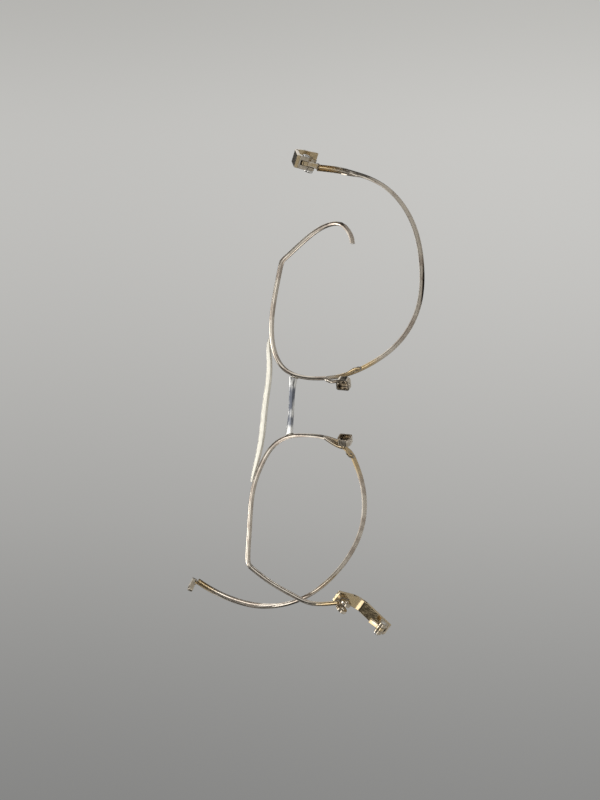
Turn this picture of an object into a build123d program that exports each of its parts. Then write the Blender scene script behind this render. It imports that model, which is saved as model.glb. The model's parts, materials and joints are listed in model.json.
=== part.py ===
from build123d import *

import os
from math import cos, radians, sin

# Metal spectacle front with a double bridge and thin grooved eyewires, in millimetres.
# Both eyewires are sprung open at their rim locks, and the lenses, pads and temples are gone.
# The frame is the wearer's: +Z up, +X to the wearer's left, the front faces -Y, and the
# origin is the middle of the bridge.

# --- Driving dimensions ---------------------------------------------------------------------

FACE_RADIUS = 310.0  # the front wraps round the head at this radius, seen from above

# Eyewire: a channel whose groove holds the lens edge.
WIRE_WIDTH = 1.8  # front to back
WIRE_DEPTH = 1.1  # from the lips to the crown
LIP = 0.34  # width of each lip beside the groove
GROOVE_DEPTH = 0.5
CROWN_RISE = 0.75  # how far the outer face bulges
WIRE_SECTIONS = 120  # short lengths that each eyewire is lofted in

# Bridge and brow bar.
BRIDGE_THICKNESS = 1.2
BAR_THICKNESS = 1.0
BAR_ROUNDING = 0.42  # corner radius of a bar's section, as a share of its thinner side

# Nose pad arms and boxes.
ARM_RADIUS = 0.45
RIVET_RADIUS = 0.75
RIVET_HEIGHT = 0.35
RIVET_ROUNDING = 0.28
PAD_BOX_LENGTH = 3.6
PAD_BOX_WIDTH = 3.3
PAD_BOX_DEPTH = 2.0
PAD_BOX_CORNER = 1.2  # on the side away from the nose
PAD_BOX_HEEL = 0.45  # corner radius on the nose side
PAD_BOX_WALL = 0.35
RIGHT_BOX_TURN = 30.0  # degrees that each box turns from facing back towards the nose
LEFT_BOX_TURN = 56.0
PAD_SCREW_HOLE_RADIUS = 0.5
PAD_SCREW_RISE = 0.3  # from the middle of the box's depth towards its open side

# Rim lock: a forked upper block on the endpiece takes the flat eye of the lower block.
SCREW_RADIUS = 0.6
SCREW_GAP = 0.02  # radial clearance round every screw
HINGE_HEAD_RADIUS = 0.95
HINGE_HEAD_HEIGHT = 0.45
CLOSING_HEAD_RADIUS = 1.3
CLOSING_HEAD_HEIGHT = 0.8
HEAD_ROUNDING = 0.6  # of the head's height
SLOT_WIDTH = 0.25
SLOT_DEPTH = 0.2
SLOT_TURN = 35.0
STRIP_WIDTH = 3.4
STRIP_THICKNESS = 0.9
FORK_WIDTH = 3.1
FORK_SHIFT = 1.4  # the lock stands this far from the strip's middle, towards its eyewire
FORK_GAP = 1.4
FORK_LENGTH = 2.8
FORK_HEIGHT = 1.5  # from the strip's inner face to the closing screw's axis
FORK_BASE = 0.35
EYE_THICKNESS = 1.3
EYE_RADIUS = 1.1
RIGHT_TAIL = 2.2
LEFT_TAIL = 2.8
TAIL_HEIGHT = 1.8
TAIL_CORNER = 0.3

# Endpiece: a flat strip that runs out from the lock, bends back and carries the hinge.
ROOT_LENGTH = 2.8
LEAD_LENGTH = 1.9
BEND_RADIUS = 5.0
BEND_ANGLE = 60.0
REACH_LENGTH = 8.6
STRIP_END = 1.3  # from the hinge axis to the strip's end

# Temple hinge: two knuckles on the endpiece, one on the temple's leaf, and a screw.
KNUCKLE_RADIUS = 1.1
KNUCKLE_GAP = 0.05
MIDDLE_KNUCKLE = 1.15
HINGE_HEIGHT = 1.6  # from the strip's inner face to the hinge axis
HINGE_BASE = 0.4
HINGE_BASE_BACK = 1.7
LEAF_REACH = 3.6
LEAF_THICKNESS = 0.9
LEAF_ANGLE_LEFT = 162.0  # from open, in degrees: folded back onto the endpiece
LEAF_ANGLE_RIGHT = 100.0

# --- Where things stand ---------------------------------------------------------------------

# Eyewire centrelines as (x, z, lift): lift is the distance behind the wrapped face. Each runs
# from the endpiece side over the top, down the nose side and along the bottom to its free end.
RIGHT_EYEWIRE = [
    (-45.5, -15.7, 3.0),
    (-48.6, -14.4, 2.5),
    (-50.7, -11.7, 2.0),
    (-50.7, -8.7, 1.6),
    (-46.5, -1.2, 0.8),
    (-43.2, 2.6, 0.4),
    (-40.9, 5.2, 0.2),
    (-40.1, 5.95, 0.2),
    (-39.1, 6.3, 0.1),
    (-36.8, 6.75, 0.0),
    (-34.0, 7.2, 0.0),
    (-21.3, 8.2, 0.0),
    (-14.7, 6.8, 0.0),
    (-10.4, 3.8, 0.0),
    (-8.5, -0.6, 0.0),
    (-8.2, -6.3, 0.0),
    (-9.6, -14.1, 0.0),
    (-13.4, -21.9, 0.0),
    (-20.5, -30.0, 0.0),
    (-30.0, -34.4, 0.0),
    (-40.2, -34.7, 0.0),
    (-53.2, -30.9, 0.0),
    (-60.9, -23.9, 0.0),
    (-64.3, -15.8, 0.1),
    (-65.3, -9.3, 0.5),
    (-65.6, -4.2, 1.2),
]
LEFT_EYEWIRE = [
    (52.1, -20.2, 1.2),
    (52.9, -16.5, 1.2),
    (53.2, -12.0, 1.3),
    (52.0, -7.4, 1.2),
    (49.3, 0.2, 0.7),
    (47.3, 4.4, 0.4),
    (46.1, 6.6, 0.3),
    (45.3, 7.7, 0.2),
    (44.1, 8.2, 0.1),
    (41.5, 8.6, 0.0),
    (36.0, 9.0, 0.0),
    (22.3, 9.1, 0.0),
    (17.3, 7.7, 0.0),
    (11.7, 4.8, 0.0),
    (8.8, 0.8, 0.0),
    (7.8, -4.5, 0.0),
    (7.9, -10.4, 0.0),
    (9.8, -15.8, 0.0),
    (11.1, -18.0, 0.0),
    (12.0, -18.9, 0.0),
    (13.3, -19.7, 0.0),
    (16.1, -21.2, 0.0),
    (23.1, -23.6, 0.0),
    (30.4, -24.0, 0.0),
    (38.3, -21.8, 0.0),
    (45.2, -17.5, -0.2),
    (50.9, -11.6, -1.2),
    (54.3, -5.7, -1.9),
    (56.4, 2.2, -2.3),
    (56.2, 10.7, -3.1),
    (54.5, 18.9, -4.3),
    (52.5, 24.7, -5.4),
]
# Each lower free end is twisted so that its groove turns towards the back: the start and end of
# the twist as shares of the wire's length, and the whole turn in degrees.
RIGHT_TWIST = (0.92, 0.965, 80.0)
LEFT_TWIST = (0.80, 0.90, 30.0)

# Bars as (x, y, z, height) sections from the wearer's right to the left.
BRIDGE_SECTIONS = [
    (-8.2, 0.0, 0.4, 2.4),
    (-5.9, -0.35, 0.6, 1.9),
    (-2.2, -0.6, 0.65, 1.6),
    (2.5, -0.6, 0.45, 1.6),
    (5.9, -0.35, 0.35, 1.8),
    (8.15, 0.0, 0.2, 2.2),
]
BROW_SECTIONS = [
    (-18.4, -0.7, 8.8, 0.8),
    (-14.0, -0.9, 8.7, 1.5),
    (-6.7, -1.0, 8.2, 1.7),
    (-1.0, -1.0, 8.5, 1.75),
    (4.7, -1.0, 8.65, 1.8),
    (10.4, -0.9, 8.8, 1.8),
    (16.0, -0.6, 9.4, 1.6),
    (22.4, -0.1, 10.1, 0.9),
]

# Pad arms: the foot lies along the eyewire's back, then the arm turns over and comes down
# behind the pad box.
RIGHT_PAD_BOX = Vector(-7.4, 6.1, -16.4)
LEFT_PAD_BOX = Vector(8.0, 6.1, -18.2)
RIGHT_ARM = [
    (-11.8, 1.5, -19.3),
    (-10.5, 1.65, -16.2),
    (-9.1, 2.7, -12.8),
    (-8.3, 4.5, -10.7),
    (-7.6, 5.0, -12.3),
]
LEFT_ARM = [
    (12.2, 1.5, -19.4),
    (10.0, 1.65, -17.2),
    (8.2, 2.7, -14.0),
    (7.8, 4.1, -11.8),
    (9.0, 4.3, -13.8),
]

# Lock planes: x runs out along the endpiece's root, z along the closing screw and the hinge.
RIGHT_LOCK = Plane(origin=(-67.7, 9.1, -2.7), x_dir=(0.01, 0.85, 0.53), z_dir=(-0.93, 0.2, -0.3))
LEFT_LOCK = Plane(origin=(51.9, 4.5, -22.3), x_dir=(0.20, -0.80, -0.56), z_dir=(0.83, -0.17, 0.54))
# The right eye sits in its fork, turned about the closing screw so that its tail meets the eyewire.
RIGHT_EYE = Plane(
    origin=RIGHT_LOCK.offset(-FORK_SHIFT).origin,
    x_dir=(-0.23, 0.33, 0.92),
    z_dir=RIGHT_LOCK.z_dir,
)
# The left lower block has come out of its fork and stands on the eyewire's raised free end.
LEFT_EYE = Plane(origin=(54.4, -0.7, 26.4), x_dir=(0.94, 0.12, 0.32), z_dir=(0.33, -0.51, -0.79))


# --- Helpers --------------------------------------------------------------------------------


def face_point(x, z, lift):
    """A point on the wrapped face of the front, or lift behind it."""
    return Vector(x, x * x / (2 * FACE_RADIUS) + lift, z)


def smooth_step(value):
    """0 up to 0, 1 from 1 on, and an even ramp between."""
    value = min(max(value, 0.0), 1.0)
    return value * value * (3 - 2 * value)


def crown_direction(path, share, side, twist):
    """The way the eyewire's crown faces at a share of its length."""
    start, end, turn = twist
    angle = radians(turn) * smooth_step((share - start) / (end - start))
    outward = (Vector(0, side, 0).cross(path % share)).normalized()
    forward = outward.cross(path % share) * side
    return outward * cos(angle) + forward * sin(angle)


def strip_end_point():
    """Where the strip's centreline ends, in the lock plane."""
    x = LEAD_LENGTH + BEND_RADIUS * sin(radians(BEND_ANGLE)) + REACH_LENGTH * cos(radians(BEND_ANGLE))
    y = BEND_RADIUS * (1 - cos(radians(BEND_ANGLE))) + REACH_LENGTH * sin(radians(BEND_ANGLE))
    return x, y - FORK_HEIGHT - STRIP_THICKNESS / 2


def hinge_plane(lock):
    """Plane on the strip's inner face below the hinge axis: x along the strip, z along the axis."""
    along = Vector(cos(radians(BEND_ANGLE)), sin(radians(BEND_ANGLE)), 0)
    inward = Vector(-along.Y, along.X, 0)
    foot = Vector(*strip_end_point()) - along * STRIP_END + inward * STRIP_THICKNESS / 2
    x_dir = lock.x_dir * along.X + lock.y_dir * along.Y
    return Plane(origin=lock.from_local_coords(foot), x_dir=x_dir, z_dir=lock.z_dir)


def closing_seat(fork_middle):
    """Where the closing screw's head sits: on the outer face of the fork's far lug."""
    outer_face = fork_middle.offset(-FORK_WIDTH / 2)
    return Plane(origin=outer_face.origin, x_dir=fork_middle.x_dir, z_dir=-fork_middle.z_dir)


# --- Pieces ---------------------------------------------------------------------------------


def make_eyewire(label, points, side, twist):
    """One eyewire, as a channel lofted along its centreline."""
    with BuildLine() as centre_line:
        Spline([face_point(*point) for point in points])
    path = centre_line.edges()[0]
    half_width = WIRE_WIDTH / 2
    lips = -WIRE_DEPTH / 2
    shoulder = WIRE_DEPTH / 2 - CROWN_RISE
    groove = half_width - LIP
    with BuildPart() as eyewire:
        for step in range(WIRE_SECTIONS + 1):
            share = step / WIRE_SECTIONS
            crown = crown_direction(path, share, side, twist)
            with BuildSketch(Plane(origin=path @ share, x_dir=crown, z_dir=path % share)):
                with BuildLine():
                    ThreePointArc((shoulder, -half_width), (WIRE_DEPTH / 2, 0), (shoulder, half_width))
                    Polyline((shoulder, half_width), (lips, half_width), (lips, groove))
                    ThreePointArc((lips, groove), (lips + GROOVE_DEPTH, 0), (lips, -groove))
                    Polyline((lips, -groove), (lips, -half_width), (shoulder, -half_width))
                make_face()
        loft(ruled=True)
    eyewire.part.label = label
    return eyewire


def make_bar(label, sections, thickness, seats):
    """A bar lofted through its sections, and cut back where it would run into other pieces."""
    with BuildPart() as bar:
        for x, y, z, height in sections:
            with BuildSketch(Plane(origin=(x, y, z), x_dir=(0, 1, 0), z_dir=(1, 0, 0))):
                RectangleRounded(thickness, height, min(thickness, height) * BAR_ROUNDING)
        loft()
        for seat in seats:
            add(seat.part, mode=Mode.SUBTRACT)
    bar.part.label = label
    return bar


def pad_box_plane(centre, side, turn):
    """Plane in a pad box: x points down, and the box opens along z, back and to the nose."""
    angle = radians(turn)
    return Plane(origin=centre, x_dir=(0, 0, -1), z_dir=(-side * sin(angle), cos(angle), 0))


def pad_box_outline(side, inset):
    """A pad box's outline in its own plane, with rounder corners on the side away from the nose."""
    away = 0 if side > 0 else -1
    with BuildSketch() as outline:
        Rectangle(PAD_BOX_LENGTH - 2 * inset, PAD_BOX_WIDTH - 2 * inset)
        fillet(outline.vertices().group_by(Axis.Y)[away], PAD_BOX_CORNER - inset)
        fillet(outline.vertices().group_by(Axis.Y)[-1 - away], PAD_BOX_HEEL - inset)
    return outline.sketch


def make_pad_box(label, plane, side):
    """An open box, with a hole in its floor for the arm and a cross hole for the pad's screw."""
    floor = plane.offset(-PAD_BOX_DEPTH / 2)
    hole_centre = plane.origin + plane.z_dir * PAD_SCREW_RISE
    side_wall = Plane(origin=hole_centre, x_dir=plane.z_dir, z_dir=plane.x_dir)
    with BuildPart() as pad_box:
        with BuildSketch(floor):
            add(pad_box_outline(side, 0))
        extrude(amount=PAD_BOX_DEPTH)
        with BuildSketch(floor.offset(PAD_BOX_WALL)):
            add(pad_box_outline(side, PAD_BOX_WALL))
        extrude(amount=PAD_BOX_DEPTH, mode=Mode.SUBTRACT)
        with BuildSketch(floor):
            Circle(ARM_RADIUS + SCREW_GAP)
        extrude(amount=PAD_BOX_WALL, mode=Mode.SUBTRACT)
        with BuildSketch(side_wall):
            Circle(PAD_SCREW_HOLE_RADIUS)
        extrude(amount=PAD_BOX_LENGTH, both=True, mode=Mode.SUBTRACT)
    pad_box.part.label = label
    return pad_box


def make_pad_arm(label, points, plane, rim):
    """A round wire from the eyewire's back to the pad box, riveted over inside the box's floor."""
    floor_top = plane.offset(PAD_BOX_WALL - PAD_BOX_DEPTH / 2)
    behind_floor = plane.offset(-PAD_BOX_DEPTH / 2 - 3 * ARM_RADIUS)
    approach = behind_floor.origin - plane.x_dir * ARM_RADIUS
    with BuildLine() as arm_line:
        Spline([*points, approach, floor_top.origin], tangents=[Vector(0, 0, 1), plane.z_dir])
    path = arm_line.edges()[0]
    with BuildPart() as arm:
        with BuildSketch(Plane(origin=path @ 0, z_dir=path % 0)):
            Circle(ARM_RADIUS)
        sweep(path=path)
        with BuildSketch(floor_top):
            Circle(RIVET_RADIUS)
        extrude(amount=RIVET_HEIGHT)
        fillet(arm.faces().sort_by(Axis(floor_top.origin, plane.z_dir))[-1].edges(), RIVET_ROUNDING)
        add(rim.part, mode=Mode.SUBTRACT)
    arm.part.label = label
    return arm


def make_fork(label, middle, seats):
    """The upper lock block: a base on the strip's root with two bored lugs, seated on other pieces."""
    base = -FORK_HEIGHT
    with BuildPart() as fork:
        with BuildSketch(middle):
            with Locations((0, base / 2)):
                Rectangle(FORK_LENGTH, -base)
            Circle(FORK_LENGTH / 2)
        extrude(amount=FORK_WIDTH / 2, both=True)
        with BuildSketch(middle):
            with Locations((0, base + FORK_BASE)):
                Rectangle(2 * FORK_LENGTH, 2 * FORK_HEIGHT + FORK_LENGTH, align=(Align.CENTER, Align.MIN))
        extrude(amount=FORK_GAP / 2, both=True, mode=Mode.SUBTRACT)
        with BuildSketch(middle):
            Circle(SCREW_RADIUS + SCREW_GAP)
        extrude(amount=FORK_WIDTH, both=True, mode=Mode.SUBTRACT)
        for seat in seats:
            add(seat.part, mode=Mode.SUBTRACT)
    fork.part.label = label
    return fork


def make_eye(label, plane, tail_length, rim):
    """The lower lock block: a flat eye for the closing screw, with a tail seated on the eyewire's end."""
    with BuildPart() as eye:
        with BuildSketch(plane):
            Circle(EYE_RADIUS)
            with Locations((-tail_length, 0)):
                RectangleRounded(tail_length, TAIL_HEIGHT, TAIL_CORNER, align=(Align.MIN, Align.CENTER))
            Circle(SCREW_RADIUS + SCREW_GAP, mode=Mode.SUBTRACT)
        extrude(amount=EYE_THICKNESS / 2, both=True)
        add(rim.part, mode=Mode.SUBTRACT)
    eye.part.label = label
    return eye


def make_screw(label, seat, length, head_radius, head_height):
    """A slotted screw, its head standing on the seat plane and its shank reaching back from it."""
    with BuildPart() as screw:
        with BuildSketch(seat):
            Circle(head_radius)
        extrude(amount=head_height)
        fillet(screw.edges().sort_by(Axis(seat.origin, seat.z_dir))[-1], HEAD_ROUNDING * head_height)
        with BuildSketch(seat.offset(head_height - SLOT_DEPTH)):
            Rectangle(2 * head_radius, SLOT_WIDTH, rotation=SLOT_TURN)
        extrude(amount=SLOT_DEPTH, mode=Mode.SUBTRACT)
        with BuildSketch(seat):
            Circle(SCREW_RADIUS)
        extrude(amount=-length)
    screw.part.label = label
    return screw


def make_hinge_screw(label, hinge):
    """The hinge's screw, its head on the outer face of an outer knuckle."""
    head_centre = hinge.from_local_coords((0, HINGE_HEIGHT, STRIP_WIDTH / 2))
    seat = Plane(origin=head_centre, x_dir=hinge.x_dir, z_dir=hinge.z_dir)
    return make_screw(label, seat, STRIP_WIDTH, HINGE_HEAD_RADIUS, HINGE_HEAD_HEIGHT)


def make_endpiece(label, lock, seats):
    """The strip from the lock's root, out and round to the hinge, its root seated on other pieces."""
    centre = -FORK_HEIGHT - STRIP_THICKNESS / 2
    with BuildPart() as endpiece:
        with BuildSketch(lock):
            with BuildLine():
                root = Line((-ROOT_LENGTH, centre), (LEAD_LENGTH, centre))
                bend = JernArc(root @ 1, root % 1, BEND_RADIUS, BEND_ANGLE)
                PolarLine(bend @ 1, REACH_LENGTH, direction=bend % 1)
            trace(line_width=STRIP_THICKNESS)
        extrude(amount=STRIP_WIDTH / 2, both=True)
        for seat in seats:
            add(seat.part, mode=Mode.SUBTRACT)
    endpiece.part.label = label
    return endpiece


def make_hinge_front(label, hinge):
    """The front half of the hinge: a base on the strip and two outer knuckles."""
    with BuildPart() as hinge_front:
        with BuildSketch(hinge):
            with Locations((STRIP_END, 0)):
                Rectangle(STRIP_END + HINGE_BASE_BACK, HINGE_BASE, align=(Align.MAX, Align.MIN))
        extrude(amount=STRIP_WIDTH / 2, both=True)
        with BuildSketch(hinge):
            with Locations((0, HINGE_HEIGHT)):
                Circle(KNUCKLE_RADIUS)
            Rectangle(2 * KNUCKLE_RADIUS, HINGE_HEIGHT, align=(Align.CENTER, Align.MIN))
        extrude(amount=STRIP_WIDTH / 2, both=True)
        with BuildSketch(hinge):
            with Locations((0, HINGE_BASE)):
                Rectangle(4 * KNUCKLE_RADIUS, 4 * KNUCKLE_RADIUS, align=(Align.CENTER, Align.MIN))
        extrude(amount=MIDDLE_KNUCKLE / 2 + KNUCKLE_GAP, both=True, mode=Mode.SUBTRACT)
        with BuildSketch(hinge):
            with Locations((0, HINGE_HEIGHT)):
                Circle(SCREW_RADIUS + SCREW_GAP)
        extrude(amount=STRIP_WIDTH, both=True, mode=Mode.SUBTRACT)
    hinge_front.part.label = label
    return hinge_front


def make_hinge_leaf(label, hinge, angle):
    """The temple's half of the hinge: the middle knuckle and its leaf, at an angle from open."""
    axis_point = hinge.from_local_coords((0, HINGE_HEIGHT, 0))
    with BuildPart() as leaf:
        with BuildSketch(Plane(origin=axis_point, x_dir=hinge.x_dir, z_dir=hinge.z_dir)):
            Circle(KNUCKLE_RADIUS)
            Rectangle(LEAF_REACH, LEAF_THICKNESS, rotation=angle, align=(Align.MIN, Align.CENTER))
            Circle(SCREW_RADIUS + SCREW_GAP, mode=Mode.SUBTRACT)
        extrude(amount=MIDDLE_KNUCKLE / 2, both=True)
    leaf.part.label = label
    return leaf


rim_right = make_eyewire("rim_right", RIGHT_EYEWIRE, -1, RIGHT_TWIST)
rim_left = make_eyewire("rim_left", LEFT_EYEWIRE, 1, LEFT_TWIST)

right_fork_middle = RIGHT_LOCK.offset(-FORK_SHIFT)
left_fork_middle = LEFT_LOCK.offset(FORK_SHIFT)
fork_right = make_fork("lock_block_upper_right", right_fork_middle, [])
fork_left = make_fork("lock_block_upper_left", left_fork_middle, [rim_left])
endpiece_right = make_endpiece("endpiece_right", RIGHT_LOCK, [])
endpiece_left = make_endpiece("endpiece_left", LEFT_LOCK, [rim_left])

bridge = make_bar("bridge", BRIDGE_SECTIONS, BRIDGE_THICKNESS, [rim_right, rim_left])
brow_bar = make_bar("brow_bar", BROW_SECTIONS, BAR_THICKNESS, [rim_right, rim_left])

right_box_plane = pad_box_plane(RIGHT_PAD_BOX, -1, RIGHT_BOX_TURN)
left_box_plane = pad_box_plane(LEFT_PAD_BOX, 1, LEFT_BOX_TURN)
pad_box_right = make_pad_box("pad_box_right", right_box_plane, -1)
pad_box_left = make_pad_box("pad_box_left", left_box_plane, 1)
pad_arm_right = make_pad_arm("pad_arm_right", RIGHT_ARM, right_box_plane, rim_right)
pad_arm_left = make_pad_arm("pad_arm_left", LEFT_ARM, left_box_plane, rim_left)

eye_right = make_eye("lock_block_lower_right", RIGHT_EYE, RIGHT_TAIL, rim_right)
eye_left = make_eye("lock_block_lower_left", LEFT_EYE, LEFT_TAIL, rim_left)
closing_screw_right = make_screw(
    "closing_screw_right",
    closing_seat(right_fork_middle),
    FORK_WIDTH,
    CLOSING_HEAD_RADIUS,
    CLOSING_HEAD_HEIGHT,
)

hinge_right = hinge_plane(RIGHT_LOCK)
hinge_left = hinge_plane(LEFT_LOCK)
hinge_front_right = make_hinge_front("hinge_front_right", hinge_right)
hinge_front_left = make_hinge_front("hinge_front_left", hinge_left)
hinge_screw_right = make_hinge_screw("hinge_screw_right", hinge_right)
hinge_screw_left = make_hinge_screw("hinge_screw_left", hinge_left)
hinge_leaf_right = make_hinge_leaf("hinge_leaf_right", hinge_right, LEAF_ANGLE_RIGHT)
hinge_leaf_left = make_hinge_leaf("hinge_leaf_left", hinge_left, LEAF_ANGLE_LEFT)

pieces = [
    rim_right,
    rim_left,
    bridge,
    brow_bar,
    pad_arm_right,
    pad_arm_left,
    pad_box_right,
    pad_box_left,
    fork_right,
    fork_left,
    eye_right,
    eye_left,
    closing_screw_right,
    endpiece_right,
    endpiece_left,
    hinge_front_right,
    hinge_front_left,
    hinge_screw_right,
    hinge_screw_left,
    hinge_leaf_right,
    hinge_leaf_left,
]

os.makedirs("parts", exist_ok=True)
for piece in pieces:
    export_step(piece.part, f"parts/{piece.part.label}.step")
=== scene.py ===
import json
from math import cos, radians, sin

import bmesh
import bpy
import numpy as np
from mathutils import Matrix, Vector, noise
from mathutils.bvhtree import BVHTree


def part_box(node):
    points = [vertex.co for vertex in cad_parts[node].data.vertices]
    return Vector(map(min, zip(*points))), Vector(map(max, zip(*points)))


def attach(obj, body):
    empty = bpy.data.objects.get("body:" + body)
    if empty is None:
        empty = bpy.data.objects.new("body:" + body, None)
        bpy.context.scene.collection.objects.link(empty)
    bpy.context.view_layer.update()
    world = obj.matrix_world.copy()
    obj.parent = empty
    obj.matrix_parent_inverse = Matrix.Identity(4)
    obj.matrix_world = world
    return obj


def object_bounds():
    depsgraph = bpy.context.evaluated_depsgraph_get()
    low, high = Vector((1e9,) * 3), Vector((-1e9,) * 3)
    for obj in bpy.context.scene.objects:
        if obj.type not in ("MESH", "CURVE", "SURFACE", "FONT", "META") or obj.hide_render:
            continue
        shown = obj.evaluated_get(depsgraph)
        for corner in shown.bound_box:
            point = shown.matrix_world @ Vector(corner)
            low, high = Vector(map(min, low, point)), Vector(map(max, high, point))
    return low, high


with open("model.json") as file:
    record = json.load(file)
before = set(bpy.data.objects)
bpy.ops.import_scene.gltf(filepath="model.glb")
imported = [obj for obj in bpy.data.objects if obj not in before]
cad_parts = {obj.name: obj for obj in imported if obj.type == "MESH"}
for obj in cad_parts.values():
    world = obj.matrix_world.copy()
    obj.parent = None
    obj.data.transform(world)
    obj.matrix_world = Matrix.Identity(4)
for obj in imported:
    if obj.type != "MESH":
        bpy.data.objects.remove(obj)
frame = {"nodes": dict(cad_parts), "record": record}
cad_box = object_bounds()

# Looks of a worn metal spectacle front: gilt wire with tarnish and painted shade in its groove,
# a mirror bright bridge with painted reflections, a pale brow bar, brown fittings, and solder at
# their joints.
# Lengths are written in millimetres and multiplied by MM.

MM = 0.001

# --- Camera, backdrop and light ------------------------------------------------------------

CAMERA_DISTANCE = 400 * MM
CAMERA_TILT = radians(20)  # the camera looks up at the back of the front
CAMERA_TURN = radians(5)  # and is rolled, so that the wearer's right side is at the top
CAMERA_ASIDE = 2.1 * MM  # how far the camera is shifted to its own right
CAMERA_RAISE = 1.68 * MM  # and towards its own top
CAMERA_LENS = 64.29
KEY_DIRECTION = Vector((-0.16, 0.92, 0.38))  # towards the bright patch of the room
FLOOR_HALF = 0.6  # half the floor's side, in metres
FLOOR_DROP = 0.1 * MM  # from the lowest piece down to the floor

# --- Colours, as linear values ---------------------------------------------------------------

GOLD = (0.60, 0.48, 0.30)
NICKEL = (0.70, 0.64, 0.56)
CREAM = (0.90, 0.87, 0.78)
SILVER = (0.86, 0.86, 0.85)
STEEL = (0.74, 0.73, 0.71)
TAUPE = (0.50, 0.43, 0.37)
AMBER = (0.60, 0.46, 0.27)
BRONZE = (0.52, 0.46, 0.37)
LEAD = (0.42, 0.39, 0.34)
OLIVE = (0.25, 0.21, 0.13)
BROWN = (0.10, 0.065, 0.035)
DARK_AMBER = (0.17, 0.105, 0.045)
# Near black for the deepest grooves and corners: partly tarnish, partly painted shade.
TARNISH_AND_SHADE_BLACK = (0.030, 0.022, 0.016)
# Blue-grey of the reflections painted on the bridge.
REFLECTED_BLUE_GREY = (0.10, 0.115, 0.16)

# Where soldering heated the wire: the two rim locks, the left free end and the two pad arms.
JOINT_PLACES = (
    (-66.0, 8.5, -4.0),
    (52.0, 5.5, -20.2),
    (52.5, -1.0, 24.7),
    (-11.8, 1.5, -18.5),
    (12.0, 1.5, -18.5),
)

# --- Edges and solder, in millimetres and degrees ----------------------------------------------

WELD_GAP = 0.002  # vertices closer than this are one
CREASE_ANGLE = 38  # edges sharper than this stay sharp on wires, bars and pad boxes
SCREW_EDGE = (0.03, 2, 40)  # rounding, its segments, and the angle from which edges are rounded
FITTING_EDGE = (0.10, 3, 35)  # the same, on strips, blocks and hinges

DROP_SPACING = 0.12  # between the drops that a bead is made of
BEAD_VOXEL = 0.07
BEAD_PASSES = 4  # of smoothing
BEAD_RIPPLE = 0.03


# --- Node trees ------------------------------------------------------------------------------


class Tree:
    """Builds one node tree. An input given as a socket is linked, and any other value is set."""

    def __init__(self, tree):
        self.tree = tree
        tree.nodes.clear()

    def add(self, kind, inputs=None, **settings):
        made = self.tree.nodes.new("ShaderNode" + kind)
        for name, value in settings.items():
            setattr(made, name, value)
        for key, value in (inputs or {}).items():
            if isinstance(value, bpy.types.NodeSocket):
                self.tree.links.new(value, made.inputs[key])
            elif isinstance(value, tuple) and len(value) == 3 and made.inputs[key].type == "RGBA":
                made.inputs[key].default_value = (*value, 1.0)
            else:
                made.inputs[key].default_value = value
        return made

    def math(self, operation, a, b=0.0):
        return self.add("Math", {0: a, 1: b}, operation=operation, use_clamp=False).outputs[0]

    def mix(self, share, a, b):
        """Colour a where share is 0, and b where it is 1."""
        return self.add("Mix", {0: share, 6: a, 7: b}, data_type="RGBA").outputs[2]

    def blend(self, share, a, b):
        """Value a where share is 0, and b where it is 1."""
        return self.add("Mix", {0: share, 2: a, 3: b}, data_type="FLOAT").outputs[0]

    def ramp(self, value, low, high):
        """0 below low, 1 above high, with a smooth step between; low may be above high."""
        inputs = {"Value": value, "From Min": low, "From Max": high}
        return self.add("MapRange", inputs, interpolation_type="SMOOTHSTEP").outputs[0]

    def noise(self, grain, detail=4.0, stretch=(1.0, 1.0, 1.0), seed=0.0):
        """Noise whose features are about grain millimetres across."""
        place = self.add("TexCoord").outputs["Object"]
        scale = tuple(1.0 / (grain * MM * s) for s in stretch)
        placed = self.add("Mapping", {"Vector": place, "Location": (seed, seed, seed), "Scale": scale})
        inputs = {"Vector": placed.outputs[0], "Scale": 1.0, "Detail": detail, "Roughness": 0.6}
        return self.add("TexNoise", inputs).outputs["Fac"]

    def hollow(self, reach, low=0.35, high=0.85):
        """1 deep in a groove or corner, 0 on an open face."""
        open_share = self.add("AmbientOcclusion", {"Distance": reach * MM}, samples=8).outputs["AO"]
        return self.ramp(open_share, high, low)

    def edge(self, radius, low=0.02, high=0.22):
        """1 along a sharp edge, 0 on an open face, with the softened normal."""
        soft = self.add("Bevel", {"Radius": radius * MM}, samples=6).outputs[0]
        flat = self.add("NewGeometry").outputs["Normal"]
        dot = self.add("VectorMath", {0: soft, 1: flat}, operation="DOT_PRODUCT").outputs["Value"]
        return self.ramp(self.math("SUBTRACT", 1.0, dot), low, high), soft

    def near(self, places, full, gone):
        """1 within full millimetres of any of the places, and 0 beyond gone."""
        here = self.add("TexCoord").outputs["Object"]
        share = 0.0
        for place in places:
            target = tuple(axis * MM for axis in place)
            away = self.add("VectorMath", {0: here, 1: target}, operation="DISTANCE").outputs["Value"]
            share = self.math("MAXIMUM", share, self.ramp(away, gone * MM, full * MM))
        return share

    def bump(self, height, distance, strength, normal=None):
        inputs = {"Height": height, "Distance": distance * MM, "Strength": strength}
        if normal is not None:
            inputs["Normal"] = normal
        return self.add("Bump", inputs).outputs[0]


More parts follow.
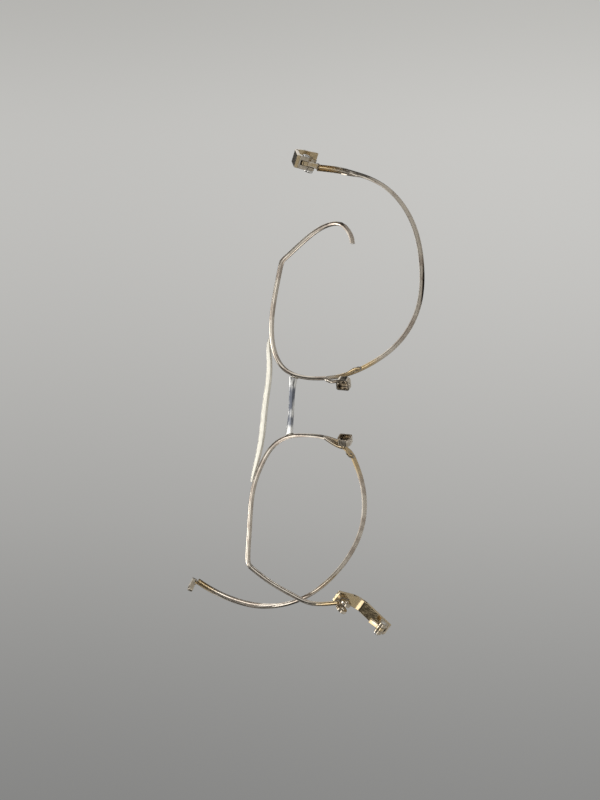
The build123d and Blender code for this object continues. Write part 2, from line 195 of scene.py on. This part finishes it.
def metal(name, plating, worn, grime, wear, dirt, shine, waves, hollow_reach=0.7, heated=(), seed=0.0):
    """Plated metal: worn through on edges and in patches, darkened in its hollows by tarnish and painted
    shade.

    wear and dirt are 0 to 1, shine is the roughness of a clean face, and waves is how far, in
    millimetres, a hand-polished face rises and falls. Soldering has tinted it gold round the
    heated places."""
    material = bpy.data.materials.new(name)
    material.use_nodes = True
    tree = Tree(material.node_tree)
    edge, soft = tree.edge(0.07)
    patches = tree.ramp(tree.noise(5.0, 5.0, seed=seed), 0.62 - 0.25 * wear, 0.70 - 0.15 * wear)
    bare = tree.math("MAXIMUM", patches, tree.math("MULTIPLY", edge, 0.8))
    shade = tree.ramp(tree.noise(2.2, 4.0, seed=seed + 3.1), 0.42, 0.70)
    clean = tree.mix(bare, plating, worn)
    if heated:
        clean = tree.mix(tree.near(heated, 3.0, 9.0), clean, AMBER)
    dulled = tree.mix(tree.math("MULTIPLY", shade, 0.35 * dirt), clean, OLIVE)
    # Grooves and corners, found by ambient occlusion, darken to near black: partly tarnish, partly painted
    # shade.
    corners = tree.hollow(hollow_reach)
    blotches = tree.ramp(tree.noise(1.6, 5.0, seed=seed + 7.7), 0.76 - 0.22 * dirt, 0.86 - 0.18 * dirt)
    specks = tree.ramp(tree.noise(0.22, 2.0, seed=seed + 5.3), 0.80 - 0.08 * dirt, 0.84 - 0.06 * dirt)
    spots = tree.math("MAXIMUM", tree.math("MULTIPLY", blotches, 0.8), specks)
    kept = tree.math("MULTIPLY", spots, tree.math("SUBTRACT", 1.0, tree.math("MULTIPLY", edge, 0.7)))
    # Dirt spots together with the tarnish and painted shade of the hollows.
    dirt_and_hollow_shade = tree.math("MAXIMUM", corners, kept)
    colour = tree.mix(dirt_and_hollow_shade, dulled, tree.mix(corners, grime, TARNISH_AND_SHADE_BLACK))
    fine = tree.noise(0.12, 3.0, seed=seed + 1.7)
    rough = tree.math("ADD", shine, tree.math("MULTIPLY", fine, 0.08))
    rough = tree.math("ADD", rough, tree.math("MULTIPLY", dirt_and_hollow_shade, 0.28))
    wave = tree.noise(1.3, 2.0, seed=seed + 12.0)
    scratches = tree.noise(0.5, 3.0, stretch=(0.12, 0.5, 1.0), seed=seed + 9.0)
    wavy = tree.bump(wave, waves, 1.0, soft)
    scored = tree.bump(scratches, 0.0008, 0.5, wavy)
    grained = tree.bump(fine, 0.0008, 0.6, scored)
    inputs = {
        "Base Color": colour,
        "Metallic": tree.blend(dirt_and_hollow_shade, 1.0, 0.6),
        "Roughness": rough,
        "Normal": grained,
    }
    surface = tree.add("BsdfPrincipled", inputs)
    tree.add("OutputMaterial", {"Surface": surface.outputs[0]})
    return material


def gilt_wire():
    return metal(
        "gilt_wire",
        NICKEL,
        TAUPE,
        DARK_AMBER,
        wear=0.6,
        dirt=0.3,
        shine=0.09,
        waves=0.02,
        heated=JOINT_PLACES,
    )


def gilt_strip():
    return metal("gilt_strip", GOLD, NICKEL, BROWN, wear=0.35, dirt=0.3, shine=0.07, waves=0.035, seed=2.0)


def tarnished_fitting():
    return metal(
        "tarnished_fitting", BRONZE, NICKEL, BROWN, wear=0.6, dirt=0.4, shine=0.10, waves=0.03, seed=4.0
    )


def cream_bar():
    return metal("cream_bar", CREAM, CREAM, OLIVE, wear=0.5, dirt=0.15, shine=0.16, waves=0.02, seed=6.0)


def steel_screw():
    return metal(
        "steel_screw",
        STEEL,
        SILVER,
        BROWN,
        wear=0.5,
        dirt=0.3,
        shine=0.10,
        waves=0.03,
        hollow_reach=0.3,
        seed=8.0,
    )


def solder():
    return metal(
        "solder",
        LEAD,
        TAUPE,
        BROWN,
        wear=0.3,
        dirt=0.7,
        shine=0.22,
        waves=0.05,
        hollow_reach=0.4,
        seed=11.0,
    )


def bright_bridge():
    """Mirror bright plating, with blue-grey painted reflections drawn out along the bar."""
    material = bpy.data.materials.new("bright_bridge")
    material.use_nodes = True
    tree = Tree(material.node_tree)
    edge, soft = tree.edge(0.10)
    # Blue-grey streaks drawn out along the bar at two places: painted reflections.
    painted_reflection_streaks = tree.ramp(tree.noise(1.3, 4.0, stretch=(4.0, 1.0, 0.8), seed=1.0), 0.30, 0.52)
    painted_reflection_streaks = tree.math("MULTIPLY", painted_reflection_streaks, tree.near([(-2.0, 0.0, 1.0), (2.5, 0.0, 1.0)], 2.6, 4.2))
    # Its grooves and corners, found by ambient occlusion, turn brown: tarnish and painted shade.
    corners = tree.hollow(0.6)
    reflection_tinted = tree.mix(tree.math("MULTIPLY", painted_reflection_streaks, 0.9), SILVER, REFLECTED_BLUE_GREY)
    edged = tree.mix(edge, reflection_tinted, SILVER)
    colour = tree.mix(corners, edged, BROWN)
    fine = tree.noise(0.15, 4.0, stretch=(6.0, 1.0, 1.0), seed=3.0)
    rough = tree.math("ADD", 0.05, tree.math("MULTIPLY", fine, 0.10))
    normal = tree.bump(fine, 0.006, 0.3, soft)
    inputs = {"Base Color": colour, "Metallic": 1.0, "Roughness": rough, "Normal": normal}
    surface = tree.add("BsdfPrincipled", inputs)
    tree.add("OutputMaterial", {"Surface": surface.outputs[0]})
    return material


finishes = {
    "gilt_wire": gilt_wire(),
    "gilt_strip": gilt_strip(),
    "tarnished_fitting": tarnished_fitting(),
    "cream_bar": cream_bar(),
    "steel_screw": steel_screw(),
    "bright_bridge": bright_bridge(),
    "solder": solder(),
}


# --- CAD nodes: finish and worn edges --------------------------------------------------------


def smooth_over(node, width, steps, angle):
    """Shades a node smooth up to an angle between faces, and rounds sharper edges if width isn't 0."""
    mesh = node.data
    if "custom_normal" in mesh.attributes:
        mesh.attributes.remove(mesh.attributes["custom_normal"])
    mesh.polygons.foreach_set("use_smooth", [True] * len(mesh.polygons))
    join = node.modifiers.new("Weld", "WELD")
    join.merge_threshold = WELD_GAP * MM
    if width:
        worn = node.modifiers.new("Worn", "BEVEL")
        worn.width = width * MM
        worn.segments = steps
        worn.limit_method = "ANGLE"
        worn.angle_limit = radians(angle)
        worn.use_clamp_overlap = False
        worn.harden_normals = True
    else:
        crease = node.modifiers.new("Crease", "EDGE_SPLIT")
        crease.split_angle = radians(angle)


def dress_nodes():
    slots = {part["node"]: part["material_slot"] for part in frame["record"]["subparts"]}
    for name, node in frame["nodes"].items():
        node.data.materials.clear()
        node.data.materials.append(finishes[slots[name]])
        if name.startswith(("rim_", "pad_", "brow_", "bridge")):
            smooth_over(node, 0, 0, CREASE_ANGLE)
        elif slots[name] == "steel_screw":
            smooth_over(node, *SCREW_EDGE)
        else:
            smooth_over(node, *FITTING_EDGE)


# --- Solder ----------------------------------------------------------------------------------


def near_points(a, b, reach):
    """Points on node a's surface that are within reach of node b's, one in each cell of a grid."""
    cell = DROP_SPACING * MM
    mesh = frame["nodes"][a].data
    mesh.calc_loop_triangles()
    corners = np.array([v.co for v in mesh.vertices])
    triangles = corners[np.array([t.vertices for t in mesh.loop_triangles])]
    lowest, highest = (np.array(corner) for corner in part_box(b))
    above = (triangles.max(1) > lowest - reach * MM).all(1)
    below = (triangles.min(1) < highest + reach * MM).all(1)
    other = frame["nodes"][b].data
    surface = BVHTree.FromPolygons([v.co for v in other.vertices], [p.vertices for p in other.polygons])
    kept = {}
    for first, second, third in triangles[above & below]:
        along, across = second - first, third - first
        rows = int(max(np.linalg.norm(along), np.linalg.norm(across)) / cell) + 1
        for i in range(rows + 1):
            for j in range(rows + 1 - i):
                point = first + along * i / rows + across * j / rows
                place = tuple(np.floor(point / cell).astype(int))
                if place not in kept:
                    kept[place] = Vector(point)
    return [kept[c] for c in sorted(kept) if surface.find_nearest(kept[c], reach * MM)[0] is not None]


def lump(name, centres, radii, seed):
    """One closed skin round a set of overlapping drops."""
    ball = bmesh.new()
    bmesh.ops.create_icosphere(ball, subdivisions=2, radius=MM)
    corners = np.array([v.co for v in ball.verts])
    faces = np.array([[v.index for v in f.verts] for f in ball.faces])
    ball.free()
    spread = np.array(centres)[:, None, :] + np.array(radii)[:, None, None] * corners
    joined = faces + (np.arange(len(centres)) * len(corners))[:, None, None]
    mesh = bpy.data.meshes.new(name)
    mesh.from_pydata(spread.reshape(-1, 3).tolist(), [], joined.reshape(-1, 3).tolist())
    draft = bpy.data.objects.new(name + "_draft", mesh)
    bpy.context.scene.collection.objects.link(draft)
    skin = draft.modifiers.new("Skin", "REMESH")
    skin.mode = "VOXEL"
    skin.voxel_size = BEAD_VOXEL * MM
    skin.use_smooth_shade = True
    flow = draft.modifiers.new("Flow", "SMOOTH")
    flow.iterations = BEAD_PASSES
    final = bpy.data.meshes.new_from_object(draft.evaluated_get(bpy.context.evaluated_depsgraph_get()))
    bpy.data.objects.remove(draft)
    final.name = name
    offset = Vector((seed, 2 * seed, 3 * seed))
    for vertex in final.vertices:
        wave = noise.noise(vertex.co / (0.45 * MM) + offset)
        wave += 0.5 * noise.noise(vertex.co / (0.16 * MM) + offset)
        vertex.co += vertex.normal * wave * BEAD_RIPPLE * MM
    piece = bpy.data.objects.new(name, final)
    bpy.context.scene.collection.objects.link(piece)
    return piece


def bead(name, a, b, reach, radius, seed):
    """Solder on node a where it comes near node b. The reach grows until some of a is within it."""
    centres = near_points(a, b, reach)
    while not centres:
        reach *= 1.5
        centres = near_points(a, b, reach)
    offset = Vector((seed, 0, 0))
    radii = [radius * (1.0 + 0.35 * noise.noise(c / (0.8 * MM) + offset)) for c in centres]
    piece = lump(name, centres, radii, seed)
    piece.data.materials.clear()
    piece.data.materials.append(finishes["solder"])
    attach(piece, "front")


def solder_joints():
    """One bead on each joint: its name, the two nodes, and its reach and radius in millimetres."""
    joints = [
        ("solder_bridge_right", "bridge", "rim_right", 0.10, 0.26),
        ("solder_bridge_left", "bridge", "rim_left", 0.10, 0.26),
        ("solder_brow_right", "brow_bar", "rim_right", 0.10, 0.20),
        ("solder_brow_left", "brow_bar", "rim_left", 0.10, 0.26),
        ("solder_arm_right", "pad_arm_right", "rim_right", 0.15, 0.32),
        ("solder_arm_left", "pad_arm_left", "rim_left", 0.15, 0.32),
        ("solder_eye_right", "lock_block_lower_right", "rim_right", 0.15, 0.22),
        ("solder_eye_left", "lock_block_lower_left", "rim_left", 0.15, 0.30),
        ("solder_fork_right", "lock_block_upper_right", "endpiece_right", 0.05, 0.16),
        ("solder_fork_left", "lock_block_upper_left", "endpiece_left", 0.05, 0.16),
        ("solder_root_left", "endpiece_left", "rim_left", 0.15, 0.24),
    ]
    for count, (name, a, b, reach, radius) in enumerate(joints):
        bead(name, a, b, reach, radius, seed=1.3 * count + 0.4)


solder_joints()
dress_nodes()


# --- Stage -----------------------------------------------------------------------------------


def floor_material():
    """Plain pale floor, seen only from above, that fades out into the backdrop."""
    material = bpy.data.materials.new("floor")
    material.use_nodes = True
    tree = Tree(material.node_tree)
    place = tree.add("TexCoord").outputs["Object"]
    away = tree.add("VectorMath", {0: place}, operation="LENGTH").outputs["Value"]
    grain = tree.ramp(tree.noise(6.0, 3.0), 0.2, 0.8)
    colour = tree.mix(grain, (0.78, 0.775, 0.76), (0.82, 0.815, 0.80))
    surface = tree.add("BsdfDiffuse", {"Color": colour})
    gone = tree.ramp(away, 0.12, 0.42)
    under = tree.add("NewGeometry").outputs["Backfacing"]
    clear = tree.math("MAXIMUM", gone, under)
    through = tree.add("BsdfTransparent").outputs[0]
    mixed = tree.add("MixShader", {0: clear, 1: surface.outputs[0], 2: through})
    tree.add("OutputMaterial", {"Surface": mixed.outputs[0]})
    return material


def make_floor():
    lowest, highest = cad_box
    middle = (lowest + highest) / 2
    shape = bmesh.new()
    bmesh.ops.create_grid(shape, x_segments=8, y_segments=8, size=FLOOR_HALF)
    mesh = bpy.data.meshes.new("floor")
    shape.to_mesh(mesh)
    shape.free()
    mesh.materials.append(floor_material())
    floor = bpy.data.objects.new("floor", mesh)
    floor.location = (middle.x, middle.y, lowest.z - FLOOR_DROP)
    bpy.context.scene.collection.objects.link(floor)


def make_world():
    """A pale grey backdrop for the camera, with painted light: darker towards the bottom of the frame
    and a little brighter towards its right; and a bright room with a dark ground for the metal.
    """
    world = bpy.data.worlds.new("studio")
    bpy.context.scene.world = world
    world.use_nodes = True
    tree = Tree(world.node_tree)
    window = tree.add("SeparateXYZ", {0: tree.add("TexCoord").outputs["Window"]})
    # The backdrop's grey is darker towards the bottom of the frame: painted light.
    backdrop = tree.add("ValToRGB", {"Fac": window.outputs[1]})
    ramp = backdrop.color_ramp
    ramp.interpolation = "B_SPLINE"
    ramp.elements[0].color = (0.225, 0.225, 0.222, 1)
    ramp.elements[1].color = (0.46, 0.455, 0.435, 1)
    for place, grey in ((0.35, 0.385), (0.80, 0.62)):
        stop = ramp.elements.new(place)
        stop.color = (grey, grey * 0.99, grey * 0.96, 1)
    # It is a little brighter towards the frame's right: painted light.
    side = tree.blend(tree.ramp(window.outputs[0], 0.0, 1.0), 0.96, 1.05)
    seen = tree.add("Background", {"Color": backdrop.outputs[0], "Strength": side})
    way = tree.add("TexCoord").outputs["Generated"]
    axes = tree.add("SeparateXYZ", {0: way})
    key = tuple(KEY_DIRECTION.normalized())
    toward = tree.add("VectorMath", {0: way, 1: key}, operation="DOT_PRODUCT").outputs["Value"]
    drift = tree.add("TexNoise", {"Vector": way, "Scale": 2.6, "Detail": 2.0}).outputs["Fac"]
    height = tree.ramp(axes.outputs[2], -0.25, 0.9)
    level = tree.math("ADD", 0.018, tree.math("MULTIPLY", height, 0.22))
    level = tree.math("MULTIPLY", level, tree.blend(tree.ramp(drift, 0.46, 0.56), 0.3, 3.0))
    level = tree.math("ADD", level, tree.math("MULTIPLY", tree.ramp(toward, 0.89, 0.985), 1.0))
    room = tree.add("Background", {"Color": (1.0, 0.985, 0.95), "Strength": level})
    is_camera = tree.add("LightPath").outputs["Is Camera Ray"]
    mixed = tree.add("MixShader", {0: is_camera, 1: room.outputs[0], 2: seen.outputs[0]})
    tree.add("OutputWorld", {"Surface": mixed.outputs[0]})


def add_light(name, direction, distance, size, watts, colour=(1, 1, 1)):
    lamp = bpy.data.lights.new(name, "AREA")
    lamp.shape = "SQUARE"
    lamp.size = size
    lamp.energy = watts
    lamp.color = colour
    light = bpy.data.objects.new(name, lamp)
    way = Vector(direction).normalized()
    light.location = way * distance
    light.rotation_euler = way.to_track_quat("Z", "Y").to_euler()
    bpy.context.scene.collection.objects.link(light)


def make_lights():
    add_light("window", (-0.45, 0.72, 0.50), 0.8, 0.22, 0.55, (1.0, 0.98, 0.95))
    add_light("ceiling", (0.15, 0.15, 1.0), 0.9, 0.4, 1.8, (1.0, 0.98, 0.94))
    add_light("low_window", (0.66, 0.73, -0.15), 0.8, 0.55, 1.9, (1.0, 0.97, 0.92))
    add_light("far_side", (-0.6, -0.8, 0.5), 0.9, 0.4, 0.4)


def make_camera():
    lens = bpy.data.cameras.new("camera")
    lens.lens = CAMERA_LENS
    lens.clip_start = 0.01
    lens.clip_end = 10.0
    camera = bpy.data.objects.new("camera", lens)
    forward = Vector((0, -cos(CAMERA_TILT), sin(CAMERA_TILT)))
    tall = Vector((0, sin(CAMERA_TILT), cos(CAMERA_TILT)))
    across = Vector((1, 0, 0))
    right = -sin(CAMERA_TURN) * across - cos(CAMERA_TURN) * tall
    up = sin(CAMERA_TURN) * tall - cos(CAMERA_TURN) * across
    place = -forward * CAMERA_DISTANCE + right * CAMERA_ASIDE + up * CAMERA_RAISE
    camera.matrix_world = Matrix.Translation(place) @ Matrix((right, up, -forward)).transposed().to_4x4()
    bpy.context.scene.collection.objects.link(camera)
    bpy.context.scene.camera = camera


make_floor()
make_world()
make_lights()
make_camera()
bpy.context.scene.view_settings.view_transform = "Standard"
